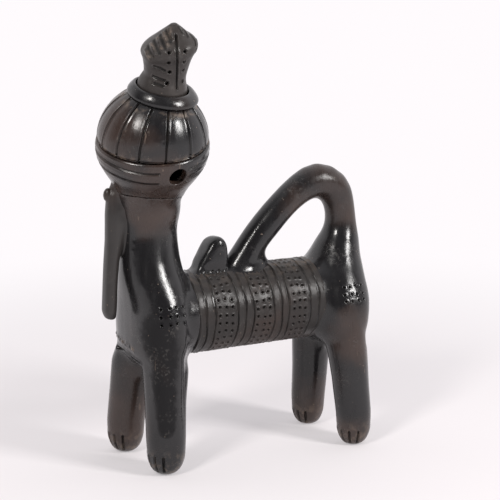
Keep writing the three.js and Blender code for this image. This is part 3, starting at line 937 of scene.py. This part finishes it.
def ball_rows(radius, first, last, count):
    """Radius and height of rings on a ball, from one height to the other."""
    heights = radius * np.sin(np.linspace(math.asin(first / radius), math.asin(last / radius), count))
    return [(math.sqrt(radius**2 - height**2), height) for height in heights]


def ribbed_dome():
    ceiling = LEDGE - WALL
    outer = ball_rows(DOME_RADIUS, SEAM, LEDGE, 90)
    inner = ball_rows(DOME_RADIUS - WALL, ceiling, SEAM, 16)
    ledge = spread([outer[-1], (MOUTH_RADIUS, LEDGE)], 1.5 * MM)[1:]
    throat = spread([(MOUTH_RADIUS, LEDGE), (MOUTH_RADIUS, ceiling)], 1.5 * MM)[1:]
    rows = np.array([*outer, *ledge, *throat, *inner])
    tilts = SEAM_TILT + (MOUTH_TILT - SEAM_TILT) * rows[:, 1] / LEDGE
    skin = turned_skin(rows, tilts, DOME_COUNT)
    angle = np.tile(turns(DOME_COUNT), len(rows))
    gaps = (angle[:, None] - np.radians(DOME_GROOVES) + math.pi) % TAU - math.pi
    nearest = np.abs(gaps).min(axis=1)
    radius, height = np.repeat(rows, DOME_COUNT, axis=0).T
    on_outside = np.repeat(np.arange(len(rows)) < len(outer), DOME_COUNT)
    cushion = (1 - np.clip(nearest / (math.pi / len(DOME_GROOVES)), 0, 1)) ** 3
    away = nearest * radius / GROOVE_WIDTH
    groove = hump(away)
    edge = hump((away - 2) / 0.8)
    fade = np.clip((height - SEAM) / (5 * MM), 0.25, 1)
    depth = LOBE_CUSHION * cushion * fade + GROOVE_DEPTH * groove - GROOVE_BURR * edge
    rim = RIM_INSET * np.exp(-height / (2.2 * MM))
    skin.press((depth + rim) * on_outside)
    skin.marked = groove * on_outside
    skin.rubbed = edge * on_outside
    seam_dust = 0.55 * hump(height / (3 * MM)) * on_outside
    collar_dust = 0.45 * hump((radius - 26 * MM) / (1.5 * MM)) * (height > 20 * MM)
    skin.dusted = np.maximum(seam_dust, collar_dust)
    skin.press(-0.18 * MM * unevenness(*skin.points.T, 31 * MM))
    piece = skin.add("ribbed_dome")
    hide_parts("head_dome")


# Collar
COLLAR_COUNT = 256
COLLAR_BORE = 18.2 * MM
COLLAR_RADIUS = 24.8 * MM
COLLAR_HEIGHT = 8 * MM
COLLAR_FOOT = LEDGE + 0.3 * MM  # the collar and the stopper stand on the dome's ledge
COLLAR_PROFILE = (  # shares of its thickness, from the bore outwards, and of its height
    (0, 0),
    (0.8, 0),
    (0.98, 0.1),
    (1, 0.26),
    (0.88, 0.5),
    (0.64, 0.76),
    (0.34, 0.96),
    (0.1, 0.98),
    (0, 0.82),
    (0, 0.3),
)


def fuller_behind(angle, rows):
    """The roll was pressed outwards more behind than in front."""
    outward = (rows[:, 0] - COLLAR_BORE) / (COLLAR_RADIUS - COLLAR_BORE)
    return -1.5 * MM * outward * np.cos(angle)


def rolled_collar():
    thick = COLLAR_RADIUS - COLLAR_BORE
    profile = [(COLLAR_BORE + out * thick, up * COLLAR_HEIGHT) for out, up in COLLAR_PROFILE]
    rows = np.maximum(spread(profile, 0.5 * MM, smooth=True), (COLLAR_BORE, 0))
    rows[:, 1] += COLLAR_FOOT
    skin = turned_skin(rows, MOUTH_TILT, COLLAR_COUNT, fuller_behind)
    above = np.clip(rows[:, 1] - LEDGE, 0, COLLAR_HEIGHT) / COLLAR_HEIGHT
    above = np.repeat(above, COLLAR_COUNT)
    skin.press(-0.25 * MM * unevenness(*skin.points.T, 15 * MM) * above)
    piece = skin.add("rolled_collar")
    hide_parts("mouth_collar")


# Stopper
STOPPER_COUNT = 256
STOPPER_TURN = math.radians(-15)
STOPPER_TIP = 53 * MM
SHOULDER_HEIGHT = 37 * MM
PLUG = 14.6 * MM
PLUG_LENGTH = 14 * MM
FLANGE = 17.4 * MM
WAIST = 14.6 * MM
SHOULDER = 18.35 * MM
SHOULDER_SKEW = 0.27
SKEW_FROM = 14 * MM  # where the skew sets in; it is full at twice this height


def stopper_rows():
    """Half width, height over the ledge and squareness, from the plug's end up to the tip."""

    def stem(share):
        return COLLAR_HEIGHT + share * (SHOULDER_HEIGHT - COLLAR_HEIGHT)

    def peak(share):
        return SHOULDER_HEIGHT + share * (STOPPER_TIP - SHOULDER_HEIGHT)

    return [
        (0.5 * MM, -PLUG_LENGTH, 2),
        (PLUG - 1 * MM, -PLUG_LENGTH, 2),
        (PLUG, 1.5 * MM - PLUG_LENGTH, 2),
        (PLUG, -0.1 * MM, 2),
        (FLANGE - 0.3 * MM, 0, 2),
        (FLANGE, 0.8 * MM, 2),
        (FLANGE, stem(0), 2),
        (0.94 * FLANGE, stem(0.14), 2),
        (WAIST, stem(0.31), 2.1),
        (1.03 * WAIST, stem(0.52), 2.2),
        (0.9 * SHOULDER, stem(0.76), 2.35),
        (SHOULDER, stem(0.94), 2.4),
        (0.97 * SHOULDER, peak(0.08), 2.4),
        (0.57 * SHOULDER, peak(0.53), 2.4),
        (0.28 * SHOULDER, peak(0.83), 2.3),
        (0.16 * SHOULDER, peak(0.94), 2.1),
        (0.11 * SHOULDER, peak(0.99), 2),
        (0.02 * SHOULDER, peak(1), 2),
    ]


def skewed(square, radius, height):
    """The hand-pinched shoulders hang lower at the front than at the back."""
    share = np.clip((height - SKEW_FROM) / SKEW_FROM, 0, 1)
    return height - SHOULDER_SKEW * share * radius * np.cos(square)


def stopper_course(skin, places):
    """Places on the stopper's side, from how far round they are in degrees and how high in mm."""
    lines = []
    for degrees, high in places:
        turn = math.radians(degrees)
        height = high * MM + COLLAR_FOOT
        axis = lean(np.array((0, 0, height)), MOUTH_TILT)
        outside = lean(np.array((FAR * math.cos(turn), FAR * math.sin(turn), height)), MOUTH_TILT)
        lines.append((axis, axis - outside))
    return skin.touches(lines)


# Marks on the stopper, as courses of such places
SLIT = (
    (83, 48), (82, 45.9), (81, 40.6), (82, 37), (84, 34.1), (88, 30), (92, 26.1), (99, 18.4), (101, 12.6),
)
SLIT_DOTS = (
    (64, 38.5), (67, 31.1), (74, 23.9), (73, 15.8), (99, 40.3), (103, 32.1), (112, 25.1), (121, 16.8),
)
PINCHES = (
    ((0, 34.5), (16, 33.1), (27, 31.5)),
    ((4, 38.9), (24, 37.4), (39, 34.8)),
    ((2, 43.2), (30, 41.1), (49, 38)),
    ((8, 47), (40, 44.9), (58, 42)),
    ((27, 50.2), (55, 48.3), (70, 45.8)),
)
NICKS = (
    ((37, 26.2), (49, 26.1), (62, 24.5)),
    ((33, 18.2), (50, 17.8), (67, 17.2)),
    ((40, 14.2), (64, 13.5)),
)
COMBED = (
    ((154, 50.1), (130, 47.4)),
    ((159, 47.5), (139, 44.8), (132, 43)),
    ((160, 44), (142, 41.5), (133, 39.5)),
    ((129, 52), (121, 49.1)),
    ((158, 40), (144, 37.5)),
)


def pointed_stopper():
    corners = np.array(stopper_rows())
    plug = spread(corners[:8], 0.6 * MM)[:-1]
    rows = np.concatenate([plug, spread(corners[7:], 0.4 * MM, smooth=True)])
    angle = turns(STOPPER_COUNT)
    power = rows[:, 2:]
    square = angle[None, :] - STOPPER_TURN
    reach = (np.abs(np.cos(square)) ** power + np.abs(np.sin(square)) ** power) ** (-1 / power)
    radius = rows[:, :1] * reach
    height = skewed(square, radius, rows[:, 1:2]) + COLLAR_FOOT
    flat = np.stack([radius * np.cos(angle), radius * np.sin(angle), height], axis=-1)
    points = lean(flat, MOUTH_TILT).reshape(-1, 3)
    faces = ring_faces(len(rows), STOPPER_COUNT)[:-STOPPER_COUNT].tolist()
    last = len(points) - STOPPER_COUNT
    faces += [list(range(STOPPER_COUNT))[::-1], list(range(last, len(points)))]
    skin = Skin(points, faces)
    above = np.repeat(rows[:, 1] > COLLAR_HEIGHT + 1 * MM, STOPPER_COUNT)
    skin.press(-0.3 * MM * unevenness(*skin.points.T, 13 * MM) * above)
    for pinch in PINCHES:
        away = skin.beside(stopper_course(skin, pinch))
        knobs = 1 + 0.35 * unevenness(*skin.points.T, 4.3 * MM)
        skin.press(-0.95 * MM * knobs * hump(away / (1 * MM)))
        skin.rubbed = np.maximum(skin.rubbed, hump(away / (0.8 * MM)))
        skin.dusted = np.maximum(skin.dusted, 0.35 * hump(away / (1.8 * MM)))
    for low, high in zip(PINCHES[1:], PINCHES[:-1]):
        middle = (np.array(low) + high) / 2
        skin.incise(stopper_course(skin, middle), 0.9 * MM, 0.7 * MM, 0)
    for courses, width, depth in ((NICKS, 0.75, 1), (COMBED, 0.6, 1.1), ([SLIT], 0.65, 1.5)):
        for course in courses:
            skin.incise(stopper_course(skin, course), width * MM, depth * MM, 0.3)
    skin.prick(stopper_course(skin, SLIT_DOTS), 1.4 * MM, 2.7 * MM, 0.25 * MM)
    piece = skin.add("pointed_stopper", body="stopper", slot="stopper_clay")
    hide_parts("stopper")


# Materials


class Nodes:
    """Short ways to add shader nodes and join them."""

    def __init__(self, owner):
        owner.use_nodes = True
        self.tree = owner.node_tree
        self.tree.nodes.clear()

    def add(self, kind, inputs=None, **settings):
        node = self.tree.nodes.new("ShaderNode" + kind)
        for name, value in settings.items():
            setattr(node, name, value)
        for name, value in (inputs or {}).items():
            self.feed(node.inputs[name], value)
        return node

    def feed(self, socket, value):
        if isinstance(value, bpy.types.NodeSocket):
            self.tree.links.new(value, socket)
        else:
            socket.default_value = value

    def noise(self, scale, detail=3, rough=0.55, stretch=(1, 1, 1)):
        coords = self.add("TexCoord").outputs["Object"]
        place = self.add("Mapping", {"Vector": coords, "Scale": stretch}).outputs["Vector"]
        inputs = {"Vector": place, "Scale": scale, "Detail": detail, "Roughness": rough}
        return self.add("TexNoise", inputs).outputs["Fac"]

    def ramp(self, value, low, high, start=0, end=1):
        inputs = {"Value": value, "From Min": low, "From Max": high, "To Min": start, "To Max": end}
        return self.add("MapRange", inputs, interpolation_type="SMOOTHSTEP").outputs["Result"]

    def maths(self, operation, a, b):
        node = self.add("Math", operation=operation)
        self.feed(node.inputs[0], a)
        self.feed(node.inputs[1], b)
        return node.outputs[0]

    def plus(self, a, b):
        return self.maths("ADD", a, b)

    def times(self, a, b):
        return self.maths("MULTIPLY", a, b)

    def larger(self, a, b):
        return self.maths("MAXIMUM", a, b)

    def dot(self, a, b):
        return self.add("VectorMath", {0: a, 1: b}, operation="DOT_PRODUCT").outputs["Value"]

    def mix(self, share, a, b):
        node = self.add("Mix", data_type="RGBA")
        self.feed(node.inputs["Factor"], share)
        self.feed(node.inputs[6], a)
        self.feed(node.inputs[7], b)
        return node.outputs[2]


BLACK = (0.0125, 0.012, 0.013, 1)
BROWN = (0.043, 0.028, 0.023, 1)
SMOKE = (0.026, 0.023, 0.022, 1)
# Painted shade: the near-black laid into grooves, slits and pricked holes
PAINTED_GROOVE_SHADE = (0.004, 0.004, 0.004, 1)
DUST = (0.28, 0.21, 0.16, 1)
SCUFF = (0.07, 0.066, 0.063, 1)
RAW_CLAY = (0.14, 0.075, 0.048, 1)
PALE_SMOKE = (0.034, 0.029, 0.027, 1)
PALE_DUST = (0.1, 0.08, 0.07, 1)


def clay_material(name, dark, brown, gloss, dusty, bend=1.5):
    """Burnished clay: smoke-black and brown by turns, the brown partly a painted reflection of the floor
    under the barrel, streaked by the burnishing stone, with near-black painted shade in its grooves and
    holes, a little tan dust, specks and scratches of wear, and a painted shade streak that dulls its
    reflection. gloss is the roughness of its smoothest places, dusty how much dust lies in the grooves
    and bend the index of refraction."""
    material = bpy.data.materials.new(name)
    n = Nodes(material)
    marked, dusted, raw, rubbed, brown_and_reflection, painted_shade = (
        n.add("Attribute", attribute_name=mark).outputs["Fac"]
        for mark in ("marked", "dusted", "raw", "rubbed", "brown_and_reflection", "painted_shade")
    )
    cloud = n.noise(26, 4)
    # The painted shade streak, made patchy; reflection is dulled along it
    painted_shade = n.plus(painted_shade, n.ramp(n.noise(90, 5, 0.6), 0.3, 0.7, -0.2, 0.2))
    painted_shade = n.ramp(painted_shade, 0.12, 0.95)
    # Browner where the fire clouded the clay, and under the barrel as a painted reflection of the floor
    browned = n.plus(n.times(brown_and_reflection, 0.8), n.ramp(cloud, 0.35, 0.75, -0.3, 0.32))
    grooves = n.times(n.times(marked, n.ramp(n.noise(260, 3), 0.42, 0.62)), dusty)
    dust = n.larger(grooves, n.times(dusted, n.ramp(n.noise(170, 3), 0.45, 0.68)))
    specks = n.ramp(n.noise(520, 1), 0.77, 0.79, 0, 0.5)
    scratches = n.ramp(n.noise(420, 2, 0.5, (1, 1, 0.07)), 0.7, 0.74)
    scratches = n.times(scratches, n.ramp(cloud, 0.5, 0.6))
    dirt = n.larger(dust, n.larger(specks, n.times(scratches, 0.3)))
    scuffs = n.ramp(n.noise(48, 5, 0.65), 0.5, 0.66)
    scuffs = n.times(scuffs, n.ramp(n.noise(430, 4, 0.7), 0.5, 0.66))

    colour = n.mix(n.ramp(browned, 0.05, 0.85), dark, brown)
    # Painted shade: grooves, slits and pricked holes darkened nearly to black
    colour = n.mix(n.times(marked, 0.95), colour, PAINTED_GROOVE_SHADE)
    colour = n.mix(n.times(scuffs, n.ramp(painted_shade, 0, 1, 0.5, 1)), colour, SCUFF)
    colour = n.mix(dirt, colour, DUST)
    colour = n.mix(raw, colour, RAW_CLAY)

    rough = n.ramp(n.noise(150, 3, 0.6, (1, 1, 0.1)), 0.3, 0.7, gloss - 0.05, gloss + 0.09)
    shares = {brown_and_reflection: 0.09, rubbed: 0.16 - gloss, dirt: 0.5, scuffs: 0.14, marked: 0.25, raw: 0.5}
    for places, more in shares.items():
        rough = n.plus(rough, n.times(places, more))

    bump = n.add("Bump", {"Height": n.noise(60, 3), "Strength": 0.3, "Distance": 0.8 * MM})
    fine = {"Height": n.noise(700, 3), "Strength": 0.4, "Distance": 0.14 * MM, "Normal": bump.outputs[0]}
    inputs = {
        "Base Color": colour,
        "Roughness": rough,
        "IOR": bend,
        # Painted shade: reflection dulled along the streak
        "Specular IOR Level": n.ramp(painted_shade, 0, 1, 0.5, 0.14),
        "Normal": n.add("Bump", fine).outputs[0],
    }
    shader = n.add("BsdfPrincipled", inputs)
    n.add("OutputMaterial", {"Surface": shader.outputs[0]})
    return material


# Camera, floor and light
LAMP_DISTANCE = 1.5
FLOOR_RADIUS = 14
FLOOR_SIDES = 96
FLOOR_COLOUR = (0.76, 0.727, 0.741, 1)
FAR_FLOOR = (1, 0.965, 0.985, 1)
BACKDROP = (1, 0.97, 0.99, 1)
DARK_ROOM = (0.035, 0.035, 0.04, 1)
CEILING = (0.5, 0.5, 0.52, 1)
def direction(turn, rise):
    """A unit vector: turn is measured from +Y towards +X, rise from the level."""
    flat = math.cos(rise)
    return Vector((math.sin(turn) * flat, math.cos(turn) * flat, math.sin(rise)))


def aim(thing, towards, distance):
    """Puts a camera or a lamp off the vessel in that direction and turns it to face it."""
    thing.location = VIEW_TARGET + towards * distance
    thing.rotation_mode = "QUATERNION"
    thing.rotation_quaternion = (-towards).to_track_quat("-Z", "Y")
    bpy.context.scene.collection.objects.link(thing)


def add_camera():
    data = bpy.data.cameras.new("camera")
    data.lens = LENS
    data.sensor_width = SENSOR
    camera = bpy.data.objects.new("camera", data)
    aim(camera, direction(VIEW_TURN, VIEW_RISE), VIEW_DISTANCE)
    bpy.context.scene.camera = camera


def add_softbox(name, turn, rise, width, height, power, tint):
    data = bpy.data.lights.new(name, "AREA")
    data.shape = "RECTANGLE"
    data.size = width
    data.size_y = height
    data.energy = power
    data.color = tint
    light = bpy.data.objects.new(name, data)
    aim(light, direction(math.radians(turn), math.radians(rise)), LAMP_DISTANCE)


def add_world():
    """A room that is white behind the vessel and dark behind the camera."""
    world = bpy.data.worlds.new("studio")
    bpy.context.scene.world = world
    n = Nodes(world)
    coords = n.add("TexCoord").outputs["Generated"]
    front = n.ramp(n.dot(coords, direction(VIEW_TURN, 0)), -0.35, 0.25)
    up = n.add("SeparateXYZ", {"Vector": coords}).outputs["Z"]
    dark = n.mix(n.ramp(up, 0.75, 1), DARK_ROOM, CEILING)
    colour = n.mix(front, BACKDROP, dark)
    light = n.add("Background", {"Color": colour})
    n.add("OutputWorld", {"Surface": light.outputs[0]})


def add_floor():
    """A pale floor that keeps the shadows near the vessel and is white in the distance."""
    material = bpy.data.materials.new("pale_floor")
    n = Nodes(material)
    coords = n.add("TexCoord").outputs["Object"]
    away = n.add("VectorMath", {0: coords}, operation="LENGTH")
    far = n.ramp(away.outputs["Value"], 0.15, 0.75, 0.35, 1)
    lit = n.add("BsdfDiffuse", {"Color": FLOOR_COLOUR})
    white = n.add("Emission", {"Color": FAR_FLOOR})
    both = n.add("MixShader", {"Fac": far, 1: lit.outputs[0], 2: white.outputs[0]})
    n.add("OutputMaterial", {"Surface": both.outputs[0]})
    ring = [(FLOOR_RADIUS * math.cos(a), FLOOR_RADIUS * math.sin(a), 0) for a in turns(FLOOR_SIDES)]
    floor = plain_object("floor", ring, [range(FLOOR_SIDES)])
    floor.data.materials.append(material)


bpy.context.scene.view_settings.view_transform = "Standard"
add_camera()
add_world()
add_floor()
add_softbox("left_softbox", 60, 38, 0.26, 0.34, 11.5, (1, 0.97, 0.94))
add_softbox("right_softbox", -33, 29, 0.32, 0.52, 18, (1, 0.98, 0.97))

CLAYS = {
    "burnished_clay": clay_material("black_clay", BLACK, BROWN, 0.18, 0.06),
    "ringed": clay_material("scraped_clay", SMOKE, BROWN, 0.35, 0.06, 1.36),
    "satin": clay_material("satin_clay", SMOKE, BROWN, 0.36, 0.06),
    "stopper_clay": clay_material("dusty_clay", PALE_SMOKE, PALE_DUST, 0.4, 0, 1.4),
}

front_quarters()
ringed_barrel()
hind_quarters()
back_spur()
hanging_trunk()
ear_bowl()
ribbed_dome()
rolled_collar()
pointed_stopper()
